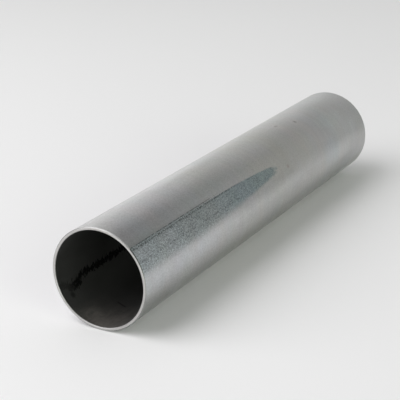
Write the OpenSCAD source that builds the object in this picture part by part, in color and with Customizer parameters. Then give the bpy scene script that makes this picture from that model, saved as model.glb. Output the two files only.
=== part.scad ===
// A cut length of welded round steel tube, lying on its side.
// The axis runs along Y with the front end at -Y, the tube rests on Z = 0,
// and the origin is on the floor under the middle of the tube.

/* [Tube] */
// Outside diameter
outer_d = 50; // [20:0.5:120]
// Wall thickness
wall = 1.5; // [1:0.1:5]
// Cut length
length = 263; // [60:1:1000]

/* [Cut ends] */
// Deburring chamfer on the outer edge of each end
outer_chamfer = 0.4; // [0.1:0.05:0.6]
// Deburring chamfer on the inner edge of each end
inner_chamfer = 0.2; // [0.1:0.05:0.3]

/* [Weld] */
// Angle of the weld round the tube, seen from the front end, from +X towards +Z
seam_angle = 202; // [0:1:359]
// How far the trimmed weld bead stands into the bore
bead_h = 0.15; // [0.05:0.01:0.3]
// Radius of the bead's rounded crown
bead_crown_r = 11; // [2:0.5:20]

/* [Hidden] */
$fn = 128;
outer_r = outer_d / 2;
bore_r = outer_r - wall;
half_length = length / 2;
// How far the cutting tools run past each end of the tube
run_out = 1;
steel_grey = [0.60, 0.61, 0.61];

// The blank: the round outside and both sawn faces, with the outer edges deburred
module turned_blank() {
    rotate_extrude()
        polygon([
            [0, -half_length],
            [outer_r - outer_chamfer, -half_length],
            [outer_r, -half_length + outer_chamfer],
            [outer_r, half_length - outer_chamfer],
            [outer_r - outer_chamfer, half_length],
            [0, half_length]
        ]);
}

// The crown of the weld bead, a long cylinder that dips bead_h into the bore
module bead_crown() {
    rotate([0, 0, seam_angle])
        translate([bore_r - bead_h + bead_crown_r, 0, 0])
            cylinder(r = bead_crown_r, h = length + 4 * run_out, center = true);
}

// What is hollow inside: the round bore, less the weld bead along it
module bore_tool() {
    difference() {
        cylinder(r = bore_r, h = length + 2 * run_out, center = true);
        bead_crown();
    }
}

// The deburring cone in the mouth of one end, deep enough to cut the bead back too
module countersink() {
    depth = inner_chamfer + bead_h;
    translate([0, 0, half_length - depth])
        cylinder(r1 = bore_r - bead_h, r2 = bore_r + inner_chamfer + run_out, h = depth + run_out);
}

module tube() {
    color(steel_grey)
        translate([0, 0, outer_r])
            rotate([90, 0, 0])
                difference() {
                    turned_blank();
                    bore_tool();
                    for (end = [0, 1])
                        mirror([0, 0, end])
                            countersink();
                }
}

tube();
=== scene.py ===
"""Dresses a cut length of welded round steel tube: its wall, its finish and a plain studio round it.

The file is laid out as an add-on and is run as a script. Lengths are in metres and angles in radians.
The tube lies along Y with its front end at -Y, and angles round it run from +X towards +Z.
"""

import math
from functools import partial, reduce
from typing import NamedTuple

import bmesh
import bpy
from bpy.props import FloatProperty, FloatVectorProperty, IntProperty, PointerProperty
from mathutils import Matrix, Vector, noise


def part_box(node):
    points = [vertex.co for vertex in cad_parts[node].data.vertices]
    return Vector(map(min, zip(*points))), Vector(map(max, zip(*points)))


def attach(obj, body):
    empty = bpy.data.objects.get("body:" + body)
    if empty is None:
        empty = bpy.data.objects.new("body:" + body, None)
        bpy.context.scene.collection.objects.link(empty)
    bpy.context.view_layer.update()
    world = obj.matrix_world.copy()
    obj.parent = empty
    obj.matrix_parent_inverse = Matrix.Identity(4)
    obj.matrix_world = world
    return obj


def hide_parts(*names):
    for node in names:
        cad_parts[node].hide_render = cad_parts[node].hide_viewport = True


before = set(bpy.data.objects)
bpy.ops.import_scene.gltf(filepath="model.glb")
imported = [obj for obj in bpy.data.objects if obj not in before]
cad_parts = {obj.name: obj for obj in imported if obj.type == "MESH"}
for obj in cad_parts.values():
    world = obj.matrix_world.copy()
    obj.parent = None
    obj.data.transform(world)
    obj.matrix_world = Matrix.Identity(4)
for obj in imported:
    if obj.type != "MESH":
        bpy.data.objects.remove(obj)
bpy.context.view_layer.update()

bl_info = {
    "name": "Welded steel tube",
    "version": (1, 0, 0),
    "blender": (4, 5, 0),
    "location": "View3D > Sidebar > Steel Tube",
    "description": "Builds a cut length of welded steel tube and a studio stage round it",
    "category": "Object",
}

MM = 0.001
TUBE_NODE = "tube"
TUBE_BODY = "root"

tube_low, tube_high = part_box(TUBE_NODE)


class TubeSizes(bpy.types.PropertyGroup):
    """The tube's own sizes, and how finely its wall is divided"""

    outer_radius: FloatProperty(
        name="Outer Radius",
        description="Radius of the outside wall",
        default=(tube_high.x - tube_low.x) / 2,
        unit="LENGTH",
    )
    length: FloatProperty(
        name="Length",
        description="Cut length of the tube",
        default=tube_high.y - tube_low.y,
        unit="LENGTH",
    )
    wall: FloatProperty(
        name="Wall",
        description="Thickness of the wall",
        default=1.5 * MM,
        unit="LENGTH",
    )
    outer_deburr: FloatProperty(
        name="Outer Deburr",
        description="Width of the deburred outer edge of each end",
        default=0.4 * MM,
        unit="LENGTH",
    )
    inner_deburr: FloatProperty(
        name="Inner Deburr",
        description="Width of the deburred inner edge of each end",
        default=0.2 * MM,
        unit="LENGTH",
    )
    steps_round: IntProperty(
        name="Steps Round",
        description="Faces round the tube",
        default=360,
        min=24,
    )
    bore_step: FloatProperty(
        name="Bore Step",
        description="Length of a face along the bore",
        default=2.0 * MM,
        unit="LENGTH",
    )
    outside_step: FloatProperty(
        name="Outside Step",
        description="Length of a face along the plain outside wall",
        default=8.0 * MM,
        unit="LENGTH",
    )
    nick_step: FloatProperty(
        name="Nick Step",
        description="Length of a face along the outside wall where it is nicked",
        default=0.3 * MM,
        unit="LENGTH",
    )


class TubeMarks(bpy.types.PropertyGroup):
    """Where the weld, the scratch and the stain are, how large they are, and how deep the nicks are"""

    weld_angle: FloatProperty(
        name="Weld Angle",
        description="Place of the weld round the tube",
        default=math.radians(202),
        subtype="ANGLE",
    )
    weld_width: FloatProperty(
        name="Weld Width",
        description="Width of the trimmed bead in the bore",
        default=3.0 * MM,
        unit="LENGTH",
    )
    weld_height: FloatProperty(
        name="Weld Height",
        description="How far the trimmed bead stands into the bore",
        default=0.15 * MM,
        unit="LENGTH",
    )
    scratch_angle: FloatProperty(
        name="Scratch Angle",
        description="Place of the scratch in the bore, round the tube",
        default=math.radians(261),
        subtype="ANGLE",
    )
    scratch_depth: FloatProperty(
        name="Scratch Depth",
        description="How far the scratch in the bore is from the front end",
        default=24.5 * MM,
        unit="LENGTH",
    )
    stain_angle: FloatProperty(
        name="Stain Angle",
        description="Middle of the stain round the tube, at its front",
        default=math.radians(32.4),
        subtype="ANGLE",
    )
    stain_drift: FloatProperty(
        name="Stain Drift",
        description="How far the stain's tip is turned from its front",
        default=math.radians(2.2),
        subtype="ANGLE",
    )
    stain_half_angle: FloatProperty(
        name="Stain Half Angle",
        description="Half the stain's width round the tube, where it is widest",
        default=math.radians(15.4),
        subtype="ANGLE",
    )
    stain_even_length: FloatProperty(
        name="Stain Even Length",
        description="How far the stain runs from the front end at its full width",
        default=48 * MM,
        unit="LENGTH",
    )
    stain_length: FloatProperty(
        name="Stain Length",
        description="How far the stain runs from the front end to its tip",
        default=145 * MM,
        unit="LENGTH",
    )
    nick_depth: FloatProperty(
        name="Nick Depth",
        description="Depth of the nicks in the outside wall",
        default=0.12 * MM,
        unit="LENGTH",
    )


class SteelFinish(bpy.types.PropertyGroup):
    """The colours and the smoothness of the tube's surfaces"""

    steel_colour: FloatVectorProperty(
        name="Steel",
        description="Reflected colour of the satin outside wall",
        default=(0.56, 0.56, 0.56),
        subtype="COLOR",
        min=0.0,
        max=1.0,
    )
    front_roughness: FloatProperty(
        name="Front Roughness",
        description="Roughness of the satin outside wall near the front end",
        default=0.31,
        subtype="FACTOR",
        min=0.0,
        max=1.0,
    )
    back_roughness: FloatProperty(
        name="Back Roughness",
        description="Roughness of the satin outside wall from the middle to the back end",
        default=0.36,
        subtype="FACTOR",
        min=0.0,
        max=1.0,
    )
    stain_colour: FloatVectorProperty(
        name="Stain",
        description="Filter colour of the mottled stain near the front end",
        default=(0.80, 0.875, 0.88),
        subtype="COLOR",
        min=0.0,
        max=1.0,
    )
    stain_middle_colour: FloatVectorProperty(
        name="Stain Middle",
        description="Filter colour of the mottled stain about a third of the way to its tip",
        default=(0.66, 0.725, 0.72),
        subtype="COLOR",
        min=0.0,
        max=1.0,
    )
    stain_tip_colour: FloatVectorProperty(
        name="Stain Tip",
        description="Filter colour of the mottled stain towards its tip",
        default=(0.56, 0.67, 0.705),
        subtype="COLOR",
        min=0.0,
        max=1.0,
    )
    haze_colour: FloatVectorProperty(
        name="Haze",
        description="Filter colour of the soft haze above the stain",
        default=(0.80, 0.835, 0.81),
        subtype="COLOR",
        min=0.0,
        max=1.0,
    )
    nick_colour: FloatVectorProperty(
        name="Nick",
        description="Colour of the dirt in the nicks of the outside wall",
        default=(0.105, 0.09, 0.07),
        subtype="COLOR",
        min=0.0,
        max=1.0,
    )
    sawn_colour: FloatVectorProperty(
        name="Sawn Steel",
        description="Reflected colour of the sawn ends",
        default=(0.53, 0.524, 0.512),
        subtype="COLOR",
        min=0.0,
        max=1.0,
    )
    sawn_roughness: FloatProperty(
        name="Sawn Roughness",
        description="Roughness of the sawn ends",
        default=0.33,
        subtype="FACTOR",
        min=0.0,
        max=1.0,
    )
    edge_colour: FloatVectorProperty(
        name="Deburred Edge",
        description="Reflected colour of the deburred edges of the ends",
        default=(0.31, 0.31, 0.306),
        subtype="COLOR",
        min=0.0,
        max=1.0,
    )
    edge_roughness: FloatProperty(
        name="Edge Roughness",
        description="Roughness of the deburred edges of the ends",
        default=0.5,
        subtype="FACTOR",
        min=0.0,
        max=1.0,
    )
    stained_edge_colour: FloatVectorProperty(
        name="Stained Edge",
        description="Filter colour of the stain on the deburred outer edge of the front end",
        default=(0.23, 0.25, 0.25),
        subtype="COLOR",
        min=0.0,
        max=1.0,
    )
    bore_colour: FloatVectorProperty(
        name="Bore Scale",
        description="Colour of the dark scale in the bore",
        default=(0.026, 0.026, 0.025),
        subtype="COLOR",
        min=0.0,
        max=1.0,
    )
    bore_roughness: FloatProperty(
        name="Bore Roughness",
        description="Roughness of the dark scale in the bore",
        default=0.55,
        subtype="FACTOR",
        min=0.0,
        max=1.0,
    )
    dust_colour: FloatVectorProperty(
        name="Bore Dust",
        description="Colour of the dusty scale along the bottom of the bore",
        default=(0.083, 0.077, 0.070),
        subtype="COLOR",
        min=0.0,
        max=1.0,
    )
    weld_colour: FloatVectorProperty(
        name="Weld Soot",
        description="Colour of the burnt streak along the weld",
        default=(0.0022, 0.0022, 0.0022),
        subtype="COLOR",
        min=0.0,
        max=1.0,
    )


class StageSettings(bpy.types.PropertyGroup):
    """The floor, the light and the camera"""

    floor_colour: FloatVectorProperty(
        name="Floor",
        description="Colour of the floor",
        default=(0.858, 0.855, 0.863),
        subtype="COLOR",
        min=0.0,
        max=1.0,
    )
    room_level: FloatProperty(
        name="Room Level",
        description="Brightness of the room away from its glows",
        default=0.08,
        min=0.0,
    )
    lamp_power: FloatProperty(
        name="Lamp Power",
        description="Power of the soft lamp in watts",
        default=16.7,
        min=0.0,
    )
    lamp_place: FloatVectorProperty(
        name="Lamp Place",
        description="Place of the soft lamp, which faces the tube",
        default=(-0.70, -0.80, 1.00),
        subtype="TRANSLATION",
    )
    lamp_side: FloatProperty(
        name="Lamp Side",
        description="Length of a side of the square soft lamp",
        default=1.5,
        unit="LENGTH",
    )
    lamp_colour: FloatVectorProperty(
        name="Lamp",
        description="Colour of the soft lamp",
        default=(1.0, 0.985, 1.0),
        subtype="COLOR",
        min=0.0,
        max=1.0,
    )
    camera_azimuth: FloatProperty(
        name="Azimuth",
        description="Turn of the camera round the tube, from looking along +Y",
        default=math.radians(28.735),
        subtype="ANGLE",
    )
    camera_elevation: FloatProperty(
        name="Elevation",
        description="Angle by which the camera looks down",
        default=math.radians(20.11),
        subtype="ANGLE",
    )
    camera_distance: FloatProperty(
        name="Distance",
        description="Distance of the camera from the place on the floor that it looks at",
        default=0.7082,
        unit="LENGTH",
    )
    camera_aim: FloatVectorProperty(
        name="Aim",
        description="Place on the floor that the camera looks at",
        default=(-0.0428, 0.0416, 0.0),
        subtype="TRANSLATION",
    )
    camera_lens: FloatProperty(
        name="Lens",
        description="Focal length in millimetres",
        default=107.79,
        unit="CAMERA",
    )
    camera_sensor: FloatProperty(
        name="Sensor",
        description="Width of the sensor in millimetres",
        default=36.0,
        unit="CAMERA",
    )


class Nick(NamedTuple):
    """A small dent in the outside wall: its place, half its width and length, and how dark it is"""

    angle: float
    from_front: float
    half_width: float
    half_length: float
    darkness: float


class RollLine(NamedTuple):
    """A dark line of dashes along the wall: its place and size, and how dark and how gapless it is"""

    angle: float
    length: float
    half_width: float
    dash_length: float
    darkness: float
    cover: float


class TintAndLightPatch(NamedTuple):
    """A soft patch on the wall that tints the steel, paints light on it or paints shade on it: its place, how
    far it reaches, and its tint
    """

    angle: float
    from_front: float
    half_turn: float
    half_length: float
    tint: tuple


NICKS = [
    Nick(math.radians(85.0), 180 * MM, half_width=1.05 * MM, half_length=1.9 * MM, darkness=0.36),
    Nick(math.radians(74.7), 196 * MM, half_width=1.35 * MM, half_length=1.4 * MM, darkness=0.46),
]

ROLL_LINES = [
    RollLine(math.radians(48.4), 84 * MM, 0.90 * MM, 3.5 * MM, darkness=0.10, cover=0.30),
    RollLine(math.radians(47.0), 92 * MM, 0.30 * MM, 1.4 * MM, darkness=0.54, cover=0.16),
    RollLine(math.radians(44.2), 118 * MM, 0.46 * MM, 1.0 * MM, darkness=0.58, cover=0.03),
    RollLine(math.radians(42.9), 62 * MM, 0.50 * MM, 2.0 * MM, darkness=0.30, cover=-0.08),
    RollLine(math.radians(29.0), 120 * MM, 0.50 * MM, 1.2 * MM, darkness=0.30, cover=-0.03),
]

# Patches with a near-grey tint are painted light where the tint is above 1 and painted shade where it is
# below 1. The others are tints of the steel, some also lighter or darker as painted light or shade. The small
# rosy patch near the stain's tip is a speck.
TINT_AND_LIGHT_PATCHES = [
    TintAndLightPatch(math.radians(5), 30 * MM, math.radians(16), 60 * MM, tint=(1.00, 1.02, 1.04)),
    TintAndLightPatch(math.radians(57), 70 * MM, math.radians(14), 75 * MM, tint=(0.955, 0.985, 0.97)),
    TintAndLightPatch(math.radians(40), 150 * MM, math.radians(32), 50 * MM, tint=(1.00, 1.00, 0.955)),
    TintAndLightPatch(math.radians(85), 120 * MM, math.radians(26), 80 * MM, tint=(1.00, 1.00, 0.975)),
    TintAndLightPatch(math.radians(94), 85 * MM, math.radians(9), 50 * MM, tint=(0.95, 0.95, 0.95)),
    TintAndLightPatch(math.radians(70), 132 * MM, math.radians(16), 34 * MM, tint=(1.07, 1.07, 1.07)),
    TintAndLightPatch(math.radians(17), 126 * MM, math.radians(12), 44 * MM, tint=(0.86, 0.86, 0.865)),
    TintAndLightPatch(math.radians(10), 185 * MM, math.radians(12), 28 * MM, tint=(0.93, 0.93, 0.94)),
    TintAndLightPatch(math.radians(52), 224 * MM, math.radians(18), 24 * MM, tint=(1.035, 1.07, 1.06)),
    TintAndLightPatch(math.radians(33), 232 * MM, math.radians(18), 34 * MM, tint=(1.08, 1.10, 1.09)),
    TintAndLightPatch(math.radians(66), 256 * MM, math.radians(20), 20 * MM, tint=(1.06, 1.05, 1.05)),
    TintAndLightPatch(math.radians(2), 254 * MM, math.radians(20), 26 * MM, tint=(0.90, 0.89, 0.89)),
    TintAndLightPatch(math.radians(-27), 6 * MM, math.radians(18), 34 * MM, tint=(0.86, 0.865, 0.85)),
    TintAndLightPatch(math.radians(-32), 70 * MM, math.radians(14), 95 * MM, tint=(0.87, 0.88, 0.86)),
    TintAndLightPatch(math.radians(104), 22 * MM, math.radians(7), 52 * MM, tint=(0.86, 0.86, 0.86)),
    TintAndLightPatch(math.radians(1), 130 * MM, math.radians(9), 90 * MM, tint=(0.94, 0.94, 0.94)),
    TintAndLightPatch(math.radians(-10), 236 * MM, math.radians(8), 28 * MM, tint=(0.92, 0.92, 0.92)),
    TintAndLightPatch(math.radians(-39), 252 * MM, math.radians(10), 24 * MM, tint=(1.12, 1.12, 1.12)),
    TintAndLightPatch(math.radians(-38), 6 * MM, math.radians(9), 12 * MM, tint=(0.82, 0.82, 0.82)),
    TintAndLightPatch(math.radians(12), 212 * MM, math.radians(24), 15 * MM, tint=(0.96, 1.00, 1.03)),
    TintAndLightPatch(math.radians(28.8), 154.5 * MM, math.radians(3.0), 1.7 * MM, tint=(0.87, 0.80, 0.80)),
]

# The tints that heat left along the wall, and where, as a share of its length from the front
TEMPER_TINTS = [
    (0.00, (0.995, 0.995, 1.00)),
    (0.25, (1.00, 1.00, 0.998)),
    (0.45, (1.00, 1.00, 0.98)),
    (0.62, (1.00, 1.00, 0.975)),
    (0.76, (1.00, 0.995, 0.98)),
    (0.88, (0.987, 1.00, 0.985)),
]


class Glow:
    """A soft patch of light in the room: its direction, how far it reaches round that, and its colour"""

    def __init__(self, azimuth, elevation, reach, level, tint=(1.0, 1.0, 1.0)):
        turn = math.radians(azimuth)
        rise = math.radians(elevation)
        flat = math.cos(rise)
        self.direction = (flat * math.cos(turn), flat * math.sin(turn), math.sin(rise))
        self.reach = math.radians(reach)
        self.colour = [level * part for part in tint]


FILL_TINT = (0.95, 1.0, 0.90)
GLOWS = [
    Glow(azimuth=240, elevation=10, reach=60, level=0.65),
    Glow(azimuth=210, elevation=25, reach=60, level=0.36),
    Glow(azimuth=300, elevation=0, reach=30, level=1.96, tint=FILL_TINT),
    Glow(azimuth=318, elevation=0, reach=30, level=1.64, tint=FILL_TINT),
    Glow(azimuth=345, elevation=0, reach=30, level=0.24, tint=FILL_TINT),
    Glow(azimuth=340, elevation=20, reach=25, level=2.40, tint=FILL_TINT),
    Glow(azimuth=0, elevation=40, reach=30, level=0.43, tint=FILL_TINT),
    Glow(azimuth=60, elevation=6, reach=50, level=0.39),
    Glow(azimuth=120, elevation=6, reach=50, level=0.65),
    Glow(azimuth=122, elevation=0, reach=25, level=0.15),
    Glow(azimuth=131, elevation=-2, reach=14, level=0.69),
    Glow(azimuth=150, elevation=60, reach=28, level=0.36),
    Glow(azimuth=200, elevation=72, reach=25, level=1.00),
]


# Node helpers

# The Mix node's sockets for colours
MIX_SHARE = 0
MIX_FIRST = 6
MIX_SECOND = 7
MIX_RESULT = 2


def node(tree, kind, inputs=None, **settings):
    """Adds a node, with its settings and with values or other nodes' outputs on its inputs"""
    made = tree.nodes.new("ShaderNode" + kind)
    for name, setting in settings.items():
        setattr(made, name, setting)
    for name, source in (inputs or {}).items():
        if isinstance(source, bpy.types.NodeSocket):
            tree.links.new(source, made.inputs[name])
        else:
            made.inputs[name].default_value = source
    return made


def calc(tree, operation, *values):
    """The result of a Math node"""
    made = node(tree, "Math", dict(enumerate(values)), operation=operation)
    return made.outputs["Value"]


def product(tree, *values):
    """All the values multiplied together"""
    return reduce(partial(calc, tree, "MULTIPLY"), values)


def total(tree, *values):
    """All the values added up"""
    return reduce(partial(calc, tree, "ADD"), values)


def vector_calc(tree, operation, *values, output="Vector"):
    """The result of a Vector Math node"""
    made = node(tree, "VectorMath", dict(enumerate(values)), operation=operation)
    return made.outputs[output]


def remap(tree, value, start, end, at_start=0.0, at_end=1.0, easing="LINEAR"):
    """A value that goes from one level to another as the given one goes from start to end"""
    ends = {"Value": value, "From Min": start, "From Max": end, "To Min": at_start, "To Max": at_end}
    return node(tree, "MapRange", ends, interpolation_type=easing).outputs["Result"]


def fade(tree, value, start, end, at_start=0.0, at_end=1.0):
    """A value that eases from one level to another as the given one goes from start to end"""
    return remap(tree, value, start, end, at_start, at_end, easing="SMOOTHSTEP")


def mottle(tree, place, cell, detail=2.0, contrast=1.0, warp=0.0):
    """Noise about 0 whose cells have the given lengths along X, Y and Z"""
    density = [1 / length for length in cell]
    scaled = vector_calc(tree, "MULTIPLY", place, density)
    made = node(tree, "TexNoise", {"Vector": scaled, "Scale": 1.0, "Detail": detail, "Distortion": warp})
    return remap(tree, made.outputs["Fac"], 0.0, 1.0, at_start=-contrast, at_end=contrast)


def blend(tree, share, first, second, kind="MIX"):
    """The second colour over the first one, by the given share"""
    inputs = {MIX_SHARE: share, MIX_FIRST: first, MIX_SECOND: second}
    return node(tree, "Mix", inputs, data_type="RGBA", blend_type=kind).outputs[MIX_RESULT]


def filtered(tree, colour, tint, share=1.0):
    """A colour seen through a tint, by the given share"""
    return blend(tree, share, colour, tint, "MULTIPLY")


def scaled_colour(tree, colour, factor):
    """A colour made brighter or darker by a factor"""
    made = node(tree, "VectorMath", {0: colour, "Scale": factor}, operation="SCALE")
    return made.outputs["Vector"]


def opaque(colour):
    """A property's colour with its alpha"""
    return (*colour, 1.0)


def new_material(name):
    """An empty node material, its Principled shader and the Object coordinates"""
    material = bpy.data.materials.new(name)
    material.use_nodes = True
    tree = material.node_tree
    shader = tree.nodes["Principled BSDF"]
    place = node(tree, "TexCoord").outputs["Object"]
    return material, tree, shader, place


def dress_shader(tree, shader, colour, roughness, relief, relief_depth):
    """Gives a shader its colour, its roughness and its fine relief"""
    bump = node(tree, "Bump", {"Strength": 1.0, "Distance": relief_depth, "Height": relief})
    tree.links.new(colour, shader.inputs["Base Color"])
    tree.links.new(roughness, shader.inputs["Roughness"])
    tree.links.new(bump.outputs["Normal"], shader.inputs["Normal"])


def height_over_floor(tree, place):
    """How high a point of the tube lies over the floor"""
    return node(tree, "SeparateXYZ", {"Vector": place}).outputs["Z"]


def wall_place(tree, place, sizes):
    """How far a point is along the tube from its front end, and its angle round the tube"""
    parts = node(tree, "SeparateXYZ", {"Vector": place}).outputs
    along = total(tree, parts["Y"], sizes.length / 2)
    height = calc(tree, "SUBTRACT", parts["Z"], sizes.outer_radius)
    angle = calc(tree, "ARCTAN2", height, parts["X"])
    return along, angle


def turn_from(tree, angle, mark_angle):
    """The turn from a mark to a point of the wall, whose angle runs from -pi to pi"""
    return calc(tree, "SUBTRACT", angle, math.remainder(mark_angle, math.tau))


def diagonal(tree, across, away):
    """How far a point is from a mark, by its distances across and along the tube"""
    squares = total(tree, product(tree, across, across), product(tree, away, away))
    return calc(tree, "SQRT", squares)


# Materials


def stain_share(tree, place, along, angle, sizes, marks):
    """1 inside the tongue-shaped stain: sharp along its upper edge and soft along its lower one"""
    sharp_edge = 0.5 * MM / sizes.outer_radius
    soft_front_edge = 2.75 * MM / sizes.outer_radius
    soft_tip_edge = 1.1 * MM / sizes.outer_radius
    raggedness = 0.8 * MM / sizes.outer_radius
    bluntness = 0.42
    full_tip = 0.955 * marks.stain_length

    taper = remap(tree, along, marks.stain_even_length, marks.stain_length, at_start=1.0, at_end=0.0)
    half_angle = product(tree, calc(tree, "POWER", taper, bluntness), marks.stain_half_angle)
    drift = fade(tree, along, marks.stain_even_length, marks.stain_length, at_end=marks.stain_drift)
    middle = total(tree, drift, marks.stain_angle)
    ragged = mottle(tree, place, (1.1 * MM,) * 3, detail=3.0, contrast=raggedness)
    off_middle = total(tree, calc(tree, "SUBTRACT", angle, middle), ragged)
    above = fade(tree, calc(tree, "SUBTRACT", half_angle, off_middle), 0.0, sharp_edge)

    narrowing = 0.5 * marks.stain_length
    narrowed = 0.85 * marks.stain_length
    soft_edge = fade(tree, along, narrowing, narrowed, soft_front_edge, soft_tip_edge)
    past_edge = calc(tree, "DIVIDE", total(tree, half_angle, off_middle), soft_edge)
    below = fade(tree, past_edge, -1.0, 1.0)
    fingers = mottle(tree, place, (1.5 * MM, 5 * MM, 1.5 * MM), detail=2.0, contrast=9 * MM)
    tip = fade(tree, total(tree, along, fingers), marks.stain_length, full_tip)
    return product(tree, above, below, tip)


def stain_tint(tree, place, along, marks, finish):
    """The stain's mottled tint, which changes from its front to its tip"""
    worn = fade(tree, along, 0.1 * marks.stain_length, 0.38 * marks.stain_length)
    late = fade(tree, along, 0.4 * marks.stain_length, 0.75 * marks.stain_length)
    tint = blend(tree, worn, opaque(finish.stain_colour), opaque(finish.stain_middle_colour))
    tint = blend(tree, late, tint, opaque(finish.stain_tip_colour))
    speckle = mottle(tree, place, (0.46 * MM, 0.66 * MM, 0.46 * MM), detail=2.0, warp=0.6)
    speckle = fade(tree, speckle, -0.3, 0.3, at_start=-0.38, at_end=0.38)
    weaker = fade(tree, along, 0.2 * marks.stain_length, marks.stain_length, at_start=1.0, at_end=0.64)
    blotches = mottle(tree, place, (3 * MM, 5 * MM, 3 * MM), detail=2.0, contrast=0.16)
    level = total(tree, product(tree, speckle, weaker), blotches, 1.0)
    return scaled_colour(tree, tint, level)


def haze_share(tree, along, angle, marks):
    """1 in the soft dark haze above the front of the stain"""
    stain_edge = marks.stain_angle + marks.stain_half_angle
    haze_top = stain_edge + math.radians(11)
    full_haze = stain_edge + math.radians(2)
    haze_foot = stain_edge - math.radians(8)
    above = fade(tree, angle, haze_top, full_haze)
    below = fade(tree, angle, haze_foot, stain_edge)
    front = fade(tree, along, 0.5 * marks.stain_length, 0.0)
    return product(tree, above, below, front)


def roll_line_light(tree, place, along, angle, sizes):
    """How much light is left where the dark dashes of the roll lines are"""
    rim = 1.2
    core = 0.3
    dash_edge = 0.15
    full_length = 0.7
    light = 1.0
    for line in ROLL_LINES:
        half_angle = line.half_width / sizes.outer_radius
        off_line = calc(tree, "ABSOLUTE", turn_from(tree, angle, line.angle))
        across = fade(tree, off_line, rim * half_angle, core * half_angle)
        dashes = mottle(tree, place, (3 * MM, line.dash_length, 3 * MM), detail=1.0)
        dashes = fade(tree, total(tree, dashes, line.cover), -dash_edge, dash_edge)
        end = fade(tree, along, line.length, full_length * line.length)
        dark = product(tree, across, dashes, end, line.darkness)
        light = product(tree, light, calc(tree, "SUBTRACT", 1.0, dark))
    return light


def nick_centre(nick, sizes):
    """A nick's place on the outside wall"""
    radius = sizes.outer_radius
    return Vector((
        radius * math.cos(nick.angle),
        nick.from_front - sizes.length / 2,
        radius + radius * math.sin(nick.angle),
    ))


def nick_share(tree, place, sizes):
    """How dark the wall is in the nicks"""
    rim = 1.2
    core = 0.2
    share = 0.0
    for nick in NICKS:
        away = vector_calc(tree, "SUBTRACT", place, nick_centre(nick, sizes))
        density = (1 / nick.half_width, 1 / nick.half_length, 1 / nick.half_width)
        scaled = vector_calc(tree, "MULTIPLY", away, density)
        distance = vector_calc(tree, "LENGTH", scaled, output="Value")
        share = calc(tree, "MAXIMUM", share, fade(tree, distance, rim, core, at_end=nick.darkness))
    return share


def temper_tint(tree, place, along, length):
    """Faint blue, straw and rose tints that follow each other along the tube, with a faint bloom"""
    cloud = mottle(tree, place, (40 * MM, 60 * MM, 40 * MM), detail=3.0, contrast=40 * MM)
    share = remap(tree, total(tree, along, cloud), 0.0, length)
    ramp = node(tree, "ValToRGB", {"Fac": share})
    stops = ramp.color_ramp.elements
    for number, (position, tint) in enumerate(TEMPER_TINTS):
        if number >= len(stops):
            stops.new(position)
        stops[number].position = position
        stops[number].color = opaque(tint)

    bloom_depth = 0.045
    bloom_density = (1 / (22 * MM), 1 / (11 * MM), 1 / (22 * MM))
    patches = vector_calc(tree, "MULTIPLY", place, bloom_density)
    bloom = node(tree, "TexNoise", {"Vector": patches, "Scale": 1.0, "Detail": 2.0})
    low = (1 - bloom_depth, 1 - bloom_depth / 3, 1 - bloom_depth)
    span = (2 * bloom_depth, 2 * bloom_depth / 3, 2 * bloom_depth)
    varied = vector_calc(tree, "MULTIPLY_ADD", bloom.outputs["Color"], span, low)
    return filtered(tree, ramp.outputs["Color"], varied)


def patch_tints_and_painted_light(tree, place, along, angle):
    """The tints of all the patches together, with the painted light and painted shade among them"""
    rim = 1.15
    core = 0.15
    ragged = mottle(tree, place, (9 * MM, 14 * MM, 9 * MM), detail=3.0, contrast=0.5)
    tint = (1.0, 1.0, 1.0, 1.0)
    for wall_patch in TINT_AND_LIGHT_PATCHES:
        across = calc(tree, "DIVIDE", turn_from(tree, angle, wall_patch.angle), wall_patch.half_turn)
        off_middle = calc(tree, "SUBTRACT", along, wall_patch.from_front)
        away = calc(tree, "DIVIDE", off_middle, wall_patch.half_length)
        distance = total(tree, diagonal(tree, across, away), ragged)
        tint = filtered(tree, tint, opaque(wall_patch.tint), fade(tree, distance, rim, core))
    return tint


def trimmed_weld_share(tree, angle, sizes, marks):
    """1 in the narrow band where the weld was trimmed flush with the outside wall"""
    rim = 0.8 * marks.weld_width
    core = 0.6 * marks.weld_width
    turn = calc(tree, "ABSOLUTE", turn_from(tree, angle, marks.weld_angle))
    return fade(tree, product(tree, turn, sizes.outer_radius), rim, core)


def bare_steel(tree, place, along, angle, sizes, finish):
    """The satin steel's colour: cloudy, wiped and grainy, duller at the back, with painted shade towards the
    underside, and with the patches' tints, painted light and painted shade
    """
    shoulder = 1.14 * sizes.outer_radius
    underside = 0.63 * sizes.outer_radius
    cloud = mottle(tree, place, (25 * MM, 50 * MM, 25 * MM), detail=3.0, contrast=0.09)
    wiped = mottle(tree, place, (18 * MM, 2.5 * MM, 18 * MM), detail=3.0, contrast=0.07)
    grain = mottle(tree, place, (0.7 * MM, 1.0 * MM, 0.7 * MM), detail=2.0, contrast=0.25)
    grain = product(tree, grain, fade(tree, along, 40 * MM, 200 * MM, at_start=1.0, at_end=0.6))
    dull_back = fade(tree, along, 30 * MM, 150 * MM, at_start=1.0, at_end=0.95)
    height = height_over_floor(tree, place)
    # Painted shade: the wall is darkened towards its underside
    painted_under_shade = fade(tree, height, shoulder, underside, at_start=1.0, at_end=0.91)
    level = total(tree, cloud, wiped, grain, product(tree, dull_back, painted_under_shade))
    steel = scaled_colour(tree, finish.steel_colour, level)
    steel = filtered(tree, steel, temper_tint(tree, place, along, sizes.length))
    # The patches' tints, with their painted light and painted shade
    return filtered(tree, steel, patch_tints_and_painted_light(tree, place, along, angle))


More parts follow.
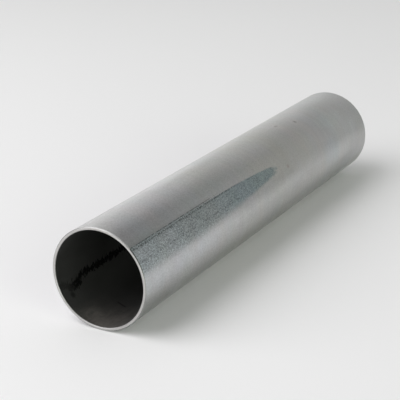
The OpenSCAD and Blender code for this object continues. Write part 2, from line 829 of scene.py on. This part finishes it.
def satin_steel(sizes, marks, finish):
    """Rolled satin steel of the outside wall, with its stain, haze, roll lines, nicks and trimmed weld"""
    trimmed_level = 1.05
    trimmed_smoothing = 0.08
    material, tree, shader, place = new_material("satin_steel")
    along, angle = wall_place(tree, place, sizes)
    steel = bare_steel(tree, place, along, angle, sizes, finish)
    stain = stain_share(tree, place, along, angle, sizes, marks)
    stained = filtered(tree, steel, stain_tint(tree, place, along, marks, finish))
    colour = blend(tree, stain, steel, stained)
    haze = haze_share(tree, along, angle, marks)
    colour = filtered(tree, colour, opaque(finish.haze_colour), haze)
    colour = scaled_colour(tree, colour, roll_line_light(tree, place, along, angle, sizes))
    colour = blend(tree, nick_share(tree, place, sizes), colour, opaque(finish.nick_colour))

    trimmed = trimmed_weld_share(tree, angle, sizes, marks)
    trim_lines = mottle(tree, place, (0.3 * MM, 60 * MM, 0.3 * MM), detail=1.0, contrast=0.2)
    trimmed_colour = scaled_colour(tree, colour, total(tree, trim_lines, trimmed_level))
    colour = blend(tree, trimmed, colour, trimmed_colour)

    wear = fade(tree, along, 15 * MM, 130 * MM, finish.front_roughness, finish.back_roughness)
    patchy = mottle(tree, place, (12 * MM, 30 * MM, 12 * MM), detail=4.0, contrast=0.05)
    smoothing = product(tree, trimmed, trimmed_smoothing)
    roughness = calc(tree, "SUBTRACT", total(tree, wear, patchy), smoothing)

    fine = mottle(tree, place, (0.8 * MM,) * 3, detail=2.0)
    relief = product(tree, fine, remap(tree, stain, 0.0, 1.0, at_start=0.5, at_end=2.5))
    dress_shader(tree, shader, colour, roughness, relief, relief_depth=0.006 * MM)
    shader.inputs["Metallic"].default_value = 1.0
    return material


def sawn_steel(sizes, marks, finish):
    """Bright steel of the sawn ends: fine saw lines, duller deburred edges, and the stain on the front one"""
    edge_softness = 0.3
    saw_line_contrast = 0.12
    patchy_roughness = 0.5
    material, tree, shader, place = new_material("sawn_steel")
    from_axis = vector_calc(tree, "SUBTRACT", place, (0.0, 0.0, sizes.outer_radius))
    flat = vector_calc(tree, "MULTIPLY", from_axis, (1.0, 0.0, 1.0))
    radius = vector_calc(tree, "LENGTH", flat, output="Value")
    outer_start = sizes.outer_radius - sizes.outer_deburr
    inner_start = sizes.outer_radius - sizes.wall + sizes.inner_deburr
    outer_edge = fade(tree, radius, outer_start, outer_start + edge_softness * sizes.outer_deburr)
    inner_edge = fade(tree, radius, inner_start, inner_start - edge_softness * sizes.inner_deburr)
    edge = calc(tree, "MAXIMUM", outer_edge, inner_edge)

    colour = blend(tree, edge, opaque(finish.sawn_colour), opaque(finish.edge_colour))
    along, angle = wall_place(tree, place, sizes)
    stain = stain_share(tree, place, along, angle, sizes, marks)
    stained = product(tree, stain, outer_edge)
    colour = filtered(tree, colour, opaque(finish.stained_edge_colour), stained)
    saw_lines = mottle(tree, place, (30 * MM, 30 * MM, 0.3 * MM), detail=2.0)
    patchy = mottle(tree, place, (3 * MM,) * 3, detail=3.0, contrast=0.12)
    level = total(tree, product(tree, saw_lines, saw_line_contrast), patchy, 1.0)
    colour = scaled_colour(tree, colour, level)

    worked = fade(tree, edge, 0.0, 1.0, finish.sawn_roughness, finish.edge_roughness)
    roughness = total(tree, product(tree, patchy, patchy_roughness), worked)
    dress_shader(tree, shader, colour, roughness, saw_lines, relief_depth=0.004 * MM)
    shader.inputs["Metallic"].default_value = 1.0
    return material


def from_mouth_depth(tree, place, sizes):
    """How deep a point lies in the bore, from the nearer mouth"""
    along = node(tree, "SeparateXYZ", {"Vector": place}).outputs["Y"]
    return calc(tree, "SUBTRACT", sizes.length / 2, calc(tree, "ABSOLUTE", along))


def weld_soot_share(tree, along, angle, sizes, marks):
    """How thick the soot is in the chain of burnt blobs along the weld, which sags near the front mouth"""
    half_width = 1.55 * MM
    smear_widening = 0.6 * MM
    smear_sag = 2.7 * MM
    stroke_lean = 0.5

    bore_radius = sizes.outer_radius - sizes.wall
    off_weld = product(tree, turn_from(tree, angle, marks.weld_angle), bore_radius)
    smear = product(tree, fade(tree, along, 3 * MM, 8 * MM), fade(tree, along, 19 * MM, 12 * MM))
    off_chain = calc(tree, "SUBTRACT", off_weld, product(tree, smear, smear_sag))
    leaning = total(tree, along, product(tree, off_weld, stroke_lean))
    unrolled = node(tree, "CombineXYZ", {"X": off_weld, "Y": leaning}).outputs["Vector"]
    strokes = mottle(tree, unrolled, (2.4 * MM, 1.2 * MM, 1.0 * MM), detail=1.0, contrast=3.2 * MM)
    distance = total(tree, calc(tree, "ABSOLUTE", off_chain), strokes)
    reach = total(tree, product(tree, smear, smear_widening), half_width)
    soft_edge = fade(tree, along, 22 * MM, 8 * MM, at_start=0.4 * MM, at_end=0.8 * MM)
    past_edge = calc(tree, "DIVIDE", calc(tree, "SUBTRACT", distance, reach), soft_edge)
    chain = fade(tree, past_edge, 1.0, -1.0)
    gaps = mottle(tree, unrolled, (1.0 * MM, 0.9 * MM, 1.0 * MM), detail=2.0)
    broken = fade(tree, gaps, 0.08, 0.26, at_start=1.0, at_end=0.55)
    faint = fade(tree, along, 14 * MM, 4 * MM, at_start=1.0, at_end=0.45)
    return product(tree, chain, broken, faint)


def soot_spot_share(tree, along, angle, sizes, marks):
    """1 in the middle of the faint spot of soot that hangs under the weld near the front mouth"""
    spot_angle = marks.weld_angle + math.radians(15)
    from_front = 6.5 * MM
    rim = 2.4 * MM
    core = 0.6 * MM
    across = product(tree, turn_from(tree, angle, spot_angle), sizes.outer_radius - sizes.wall)
    away = calc(tree, "SUBTRACT", along, from_front)
    return fade(tree, diagonal(tree, across, away), rim, core)


def scratch_share(tree, along, angle, marks):
    """1 in the short scratch round the bottom of the bore, a little way in from the front mouth"""
    slope = 6.3 * MM
    rim = 0.9 * MM
    core = 0.3 * MM
    turn = turn_from(tree, angle, marks.scratch_angle)
    leaning = total(tree, along, product(tree, turn, slope))
    off_line = calc(tree, "ABSOLUTE", calc(tree, "SUBTRACT", leaning, marks.scratch_depth))
    ends = fade(tree, calc(tree, "ABSOLUTE", turn), math.radians(9), math.radians(5))
    return product(tree, fade(tree, off_line, rim, core), ends)


def dust_share(tree, place, height, depth):
    """How thick the streaky dust lies along the bottom of the bore, near the mouths"""
    low_down = fade(tree, height, 7.5 * MM, 1.0 * MM)
    near_mouth = fade(tree, depth, 31 * MM, 0.0)
    streaks = mottle(tree, place, (1.4 * MM, 7 * MM, 1.4 * MM), detail=3.0)
    patches = mottle(tree, place, (3 * MM,) * 3, detail=2.0, contrast=0.8)
    return product(tree, low_down, near_mouth, total(tree, streaks, patches, 1.0))


def deep_painted_light_and_paler_bottom(tree, height, depth):
    """How much paler the scale is painted deep in the bore, as painted light for the light that reaches in
    there, and how much paler it is along its bottom past the mouths
    """
    # Painted light: the scale gets paler deep in the bore
    painted_deep_light = fade(tree, depth, 34 * MM, 72 * MM, at_start=1.0, at_end=2.3)
    past_mouth = fade(tree, depth, 12 * MM, 36 * MM)
    low_down = fade(tree, height, 20 * MM, 8 * MM, at_end=0.9)
    return total(tree, painted_deep_light, product(tree, past_mouth, low_down))


def bore_scale(sizes, marks, finish):
    """Dark scale in the bore, painted paler deep inside as painted light, with its dust, a scratch and the
    burnt streak along the weld
    """
    faint_spot = 0.6
    faint_scratch = 0.55
    cloudy_roughness = 0.15
    material, tree, shader, place = new_material("bore_scale")
    along, angle = wall_place(tree, place, sizes)
    height = height_over_floor(tree, place)
    depth = from_mouth_depth(tree, place, sizes)
    cloud = mottle(tree, place, (8 * MM, 14 * MM, 8 * MM), detail=4.0, contrast=0.4)
    flakes = mottle(tree, place, (0.9 * MM,) * 3, detail=3.0, contrast=0.3)
    dust = dust_share(tree, place, height, depth)
    scale = blend(tree, dust, opaque(finish.bore_colour), opaque(finish.dust_colour))
    scale = scaled_colour(tree, scale, total(tree, cloud, flakes, deep_painted_light_and_paler_bottom(tree, height, depth)))

    weld = weld_soot_share(tree, along, angle, sizes, marks)
    spot = product(tree, soot_spot_share(tree, along, angle, sizes, marks), faint_spot)
    scratch = product(tree, scratch_share(tree, along, angle, marks), faint_scratch)
    soot = calc(tree, "MAXIMUM", weld, calc(tree, "MAXIMUM", spot, scratch))
    colour = blend(tree, soot, scale, opaque(finish.weld_colour))
    roughness = total(tree, product(tree, cloud, cloudy_roughness), finish.bore_roughness)
    dress_shader(tree, shader, colour, roughness, flakes, relief_depth=0.02 * MM)
    shine = fade(tree, soot, 0.0, 1.0, at_start=0.5, at_end=0.1)
    tree.links.new(shine, shader.inputs["Specular IOR Level"])
    return material


def floor_paint(stage):
    """Plain matt pale floor"""
    material, tree, shader, place = new_material("floor_paint")
    cloud = mottle(tree, place, (0.4, 0.4, 0.4), detail=2.0, contrast=0.01)
    colour = scaled_colour(tree, stage.floor_colour, total(tree, cloud, 1.0))
    tree.links.new(colour, shader.inputs["Base Color"])
    shader.inputs["Roughness"].default_value = 0.9
    shader.inputs["Specular IOR Level"].default_value = 0.1
    return material


# Meshes

# The order of the tube's materials
OUTSIDE, SAWN, BORE = range(3)

# Rows of the noise that shape the bead, each with a pattern of its own
WANDER_ROW = 3.0
CROWN_ROW = 5.0
WIDTH_ROW = 7.0


def outline_corners(bm, sizes):
    """Draws the cut through the wall at its +X side, with its four corners cut off by the deburring"""
    half = sizes.length / 2
    bore_radius = sizes.outer_radius - sizes.wall
    outer = [bm.verts.new((sizes.outer_radius, y, sizes.outer_radius)) for y in (-half, half)]
    inner = [bm.verts.new((bore_radius, y, sizes.outer_radius)) for y in (half, -half)]
    corners = outer + inner
    for number, corner in enumerate(corners):
        bm.edges.new((corners[number - 1], corner))
    for verts, width in ((outer, sizes.outer_deburr), (inner, sizes.inner_deburr)):
        bmesh.ops.bevel(
            bm,
            geom=verts,
            offset=width,
            offset_type="OFFSET",
            affect="VERTICES",
            segments=1,
            profile=0.5,
            material=-1,
        )


def nick_stretches(sizes):
    """The stretches along Y that hold the nicks, with some room on either side"""
    room = 1.5
    stretches = []
    for nick in NICKS:
        middle = nick.from_front - sizes.length / 2
        stretches.append((middle - room * nick.half_length, middle + room * nick.half_length))
    return stretches


def round_place(vert, sizes):
    """A vertex's angle round the tube and its distance from the axis"""
    height = vert.co.z - sizes.outer_radius
    return math.atan2(height, vert.co.x), math.hypot(height, vert.co.x)


def wall_outline(bm, sizes):
    """Draws the cut through the wall, with a point at each end of the stretches that hold the nicks"""
    outline_corners(bm, sizes)
    for stretch in nick_stretches(sizes):
        for y in stretch:
            bmesh.ops.bisect_plane(
                bm,
                geom=bm.verts[:] + bm.edges[:],
                plane_co=(0.0, y, 0.0),
                plane_no=(0.0, 1.0, 0.0),
            )


def face_length(edge, sizes):
    """How long the faces may be along an edge of the wall"""
    middle = (edge.verts[0].co + edge.verts[1].co) / 2
    if math.hypot(middle.x, middle.z - sizes.outer_radius) < sizes.outer_radius - sizes.wall / 2:
        return sizes.bore_step
    for low, high in nick_stretches(sizes):
        if low < middle.y < high:
            return sizes.nick_step
    return sizes.outside_step


def divide_along(bm, sizes):
    """Divides the wall along Y, more finely where the bead and the nicks are"""
    rows = {}
    for edge in bm.edges:
        length = abs(edge.verts[0].co.y - edge.verts[1].co.y)
        cuts = round(length / face_length(edge, sizes)) - 1
        if cuts > 0:
            rows.setdefault(cuts, []).append(edge)
    for cuts, edges in rows.items():
        bmesh.ops.subdivide_edges(bm, edges=edges, cuts=cuts, use_grid_fill=True)


def push_out(vert, sizes, distance):
    """Moves a vertex away from the axis"""
    axis_point = Vector((0.0, vert.co.y, sizes.outer_radius))
    outward = (vert.co - axis_point).normalized()
    vert.co += outward * distance


def angle_between(first, second):
    """The turn from the second angle to the first, from -pi to pi"""
    return (first - second + math.pi) % (2 * math.pi) - math.pi


def bead_share(y, off_weld, marks):
    """How high the ragged bead stands at a point of the bore, as a share of its full height"""
    wander_reach = 0.25 * MM
    wander_length = 9 * MM
    width_change = 0.3
    width_length = 2.5 * MM
    crown_level = 0.85
    crown_change = 0.35
    crown_length = 1.7 * MM
    wander = wander_reach * noise.noise((y / wander_length, WANDER_ROW, 0.0))
    widening = width_change * noise.noise((y / width_length, WIDTH_ROW, 0.0))
    half_width = marks.weld_width / 2 * (1 + widening)
    across = (off_weld - wander) / half_width
    if abs(across) >= 1:
        return 0.0
    crown = crown_level + crown_change * noise.noise((y / crown_length, across, CROWN_ROW))
    return min((1 - across * across) * crown, 1.0)


def raise_weld(bm, sizes, marks):
    """Raises the ragged weld bead along the bore, and lets it run out at the deburred mouths"""
    tolerance = 0.01 * MM
    bore_radius = sizes.outer_radius - sizes.wall
    mouth = sizes.length / 2 - sizes.inner_deburr
    run_out = sizes.bore_step
    for vert in bm.verts:
        angle, radius = round_place(vert, sizes)
        from_mouth = mouth - abs(vert.co.y)
        if abs(radius - bore_radius) > tolerance or from_mouth < tolerance:
            continue
        off_weld = angle_between(angle, marks.weld_angle) * bore_radius
        share = bead_share(vert.co.y, off_weld, marks)
        ease = min(1.0, from_mouth / run_out)
        push_out(vert, sizes, -marks.weld_height * share * ease)


def press_nicks(bm, sizes, marks):
    """Presses the nicks into the outside wall"""
    for nick in NICKS:
        for vert in bm.verts:
            angle, radius = round_place(vert, sizes)
            if abs(radius - sizes.outer_radius) > marks.nick_depth:
                continue
            across = angle_between(angle, nick.angle) * sizes.outer_radius / nick.half_width
            along = (vert.co.y + sizes.length / 2 - nick.from_front) / nick.half_length
            reach = math.hypot(across, along)
            if reach < 1:
                push_out(vert, sizes, -marks.nick_depth * (1 - reach * reach) ** 2)


def sharpen_corners(bm):
    """Keeps the edges of the deburred corners crisp"""
    corner_angle = math.radians(30)
    for edge in bm.edges:
        edge.smooth = edge.calc_face_angle() < corner_angle


def sort_faces(bm, sizes):
    """Gives each face its material: the outside wall, the sawn ends or the bore"""
    least_end_slope = 0.1
    end_depth = max(sizes.outer_deburr, sizes.inner_deburr)
    middle_radius = sizes.outer_radius - sizes.wall / 2
    for face in bm.faces:
        face.smooth = True
        centre = face.calc_center_median()
        radius = math.hypot(centre.x, centre.z - sizes.outer_radius)
        at_end = sizes.length / 2 - abs(centre.y) < end_depth
        if at_end and abs(face.normal.y) > least_end_slope:
            face.material_index = SAWN
        elif radius > middle_radius:
            face.material_index = OUTSIDE
        else:
            face.material_index = BORE


def tube_mesh(sizes, marks):
    """The whole wall of the tube as one closed mesh"""
    bm = bmesh.new()
    wall_outline(bm, sizes)
    bmesh.ops.spin(
        bm,
        geom=bm.verts[:] + bm.edges[:],
        cent=(0.0, 0.0, sizes.outer_radius),
        axis=(0.0, 1.0, 0.0),
        angle=2 * math.pi,
        steps=sizes.steps_round,
        use_merge=True,
    )
    divide_along(bm, sizes)
    bmesh.ops.recalc_face_normals(bm, faces=bm.faces)
    raise_weld(bm, sizes, marks)
    press_nicks(bm, sizes, marks)
    bm.normal_update()
    sharpen_corners(bm)
    sort_faces(bm, sizes)
    mesh = bpy.data.meshes.new("welded_tube")
    bm.to_mesh(mesh)
    bm.free()
    return mesh


def add_object(name, data):
    """Puts an object in the scene, at the origin"""
    made = bpy.data.objects.new(name, data)
    bpy.context.scene.collection.objects.link(made)
    return made


# Stage


def add_floor(stage):
    """A wide flat floor under the tube"""
    half_side = 12.0
    bm = bmesh.new()
    bmesh.ops.create_grid(bm, x_segments=4, y_segments=4, size=half_side)
    mesh = bpy.data.meshes.new("floor")
    bm.to_mesh(mesh)
    bm.free()
    mesh.materials.append(floor_paint(stage))
    floor = add_object("floor", mesh)


def add_key_lamp(stage):
    """A square soft lamp that faces the tube"""
    lamp = bpy.data.lights.new("key_lamp", "AREA")
    lamp.shape = "SQUARE"
    lamp.size = stage.lamp_side
    lamp.energy = stage.lamp_power
    lamp.color = stage.lamp_colour
    made = add_object("key_lamp", lamp)
    made.location = stage.lamp_place
    towards_tube = -Vector(stage.lamp_place)
    made.rotation_euler = towards_tube.to_track_quat("-Z", "Y").to_euler()


def add_surroundings(stage):
    """A pale room that is brighter where its glows are"""
    world = bpy.data.worlds.new("soft_room")
    world.use_nodes = True
    tree = world.node_tree
    direction = node(tree, "TexCoord").outputs["Generated"]
    colour = [stage.room_level] * 3
    for glow in GLOWS:
        nearness = vector_calc(tree, "DOT_PRODUCT", direction, glow.direction, output="Value")
        share = fade(tree, nearness, math.cos(glow.reach), 1.0)
        light = scaled_colour(tree, glow.colour, share)
        colour = vector_calc(tree, "ADD", colour, light)
    tree.links.new(colour, tree.nodes["Background"].inputs["Color"])
    bpy.context.scene.world = world


def add_camera(stage):
    """The camera at the photograph's angle"""
    data = bpy.data.cameras.new("camera")
    data.lens = stage.camera_lens
    data.sensor_width = stage.camera_sensor
    data.clip_start = 10 * MM
    made = add_object("camera", data)
    turn = Matrix.Rotation(stage.camera_azimuth, 3, "Z")
    tilt = Matrix.Rotation(math.pi / 2 - stage.camera_elevation, 3, "X")
    rotation = turn @ tilt
    made.rotation_euler = rotation.to_euler()
    made.location = Vector(stage.camera_aim) + rotation @ Vector((0.0, 0.0, stage.camera_distance))
    bpy.context.scene.camera = made


class OBJECT_OT_welded_tube_add(bpy.types.Operator):
    """Add the welded steel tube"""

    bl_idname = "object.welded_tube_add"
    bl_label = "Add Welded Tube"
    bl_options = {"REGISTER", "UNDO"}

    def execute(self, context):
        scene = context.scene
        sizes, marks, finish = scene.tube_sizes, scene.tube_marks, scene.steel_finish
        mesh = tube_mesh(sizes, marks)
        mesh.materials.append(satin_steel(sizes, marks, finish))
        mesh.materials.append(sawn_steel(sizes, marks, finish))
        mesh.materials.append(bore_scale(sizes, marks, finish))
        tube = add_object("welded_tube", mesh)
        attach(tube, TUBE_BODY)
        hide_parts(TUBE_NODE)
        return {"FINISHED"}


class OBJECT_OT_studio_stage_add(bpy.types.Operator):
    """Add the floor, the light and the camera"""

    bl_idname = "object.studio_stage_add"
    bl_label = "Add Studio Stage"
    bl_options = {"REGISTER", "UNDO"}

    def execute(self, context):
        stage = context.scene.studio_stage
        add_floor(stage)
        add_key_lamp(stage)
        add_surroundings(stage)
        add_camera(stage)
        context.scene.view_settings.view_transform = "Standard"
        return {"FINISHED"}


class VIEW3D_PT_welded_tube(bpy.types.Panel):
    """The tube's sizes, marks and finish, and the stage"""

    bl_label = "Steel Tube"
    bl_idname = "VIEW3D_PT_welded_tube"
    bl_space_type = "VIEW_3D"
    bl_region_type = "UI"
    bl_category = "Steel Tube"

    def draw(self, context):
        scene = context.scene
        for title, group in (
            ("Sizes", scene.tube_sizes),
            ("Marks", scene.tube_marks),
            ("Finish", scene.steel_finish),
            ("Stage", scene.studio_stage),
        ):
            box = self.layout.box()
            box.label(text=title)
            for name in group.__annotations__:
                box.prop(group, name)
        self.layout.operator(OBJECT_OT_welded_tube_add.bl_idname)
        self.layout.operator(OBJECT_OT_studio_stage_add.bl_idname)


CLASSES = (
    TubeSizes,
    TubeMarks,
    SteelFinish,
    StageSettings,
    OBJECT_OT_welded_tube_add,
    OBJECT_OT_studio_stage_add,
    VIEW3D_PT_welded_tube,
)


def register():
    for cls in CLASSES:
        bpy.utils.register_class(cls)
    bpy.types.Scene.tube_sizes = PointerProperty(type=TubeSizes)
    bpy.types.Scene.tube_marks = PointerProperty(type=TubeMarks)
    bpy.types.Scene.steel_finish = PointerProperty(type=SteelFinish)
    bpy.types.Scene.studio_stage = PointerProperty(type=StageSettings)


def unregister():
    del bpy.types.Scene.studio_stage
    del bpy.types.Scene.steel_finish
    del bpy.types.Scene.tube_marks
    del bpy.types.Scene.tube_sizes
    for cls in reversed(CLASSES):
        bpy.utils.unregister_class(cls)


def main():
    register()
    bpy.ops.object.welded_tube_add()
    bpy.ops.object.studio_stage_add()


if __name__ == "__main__":
    main()
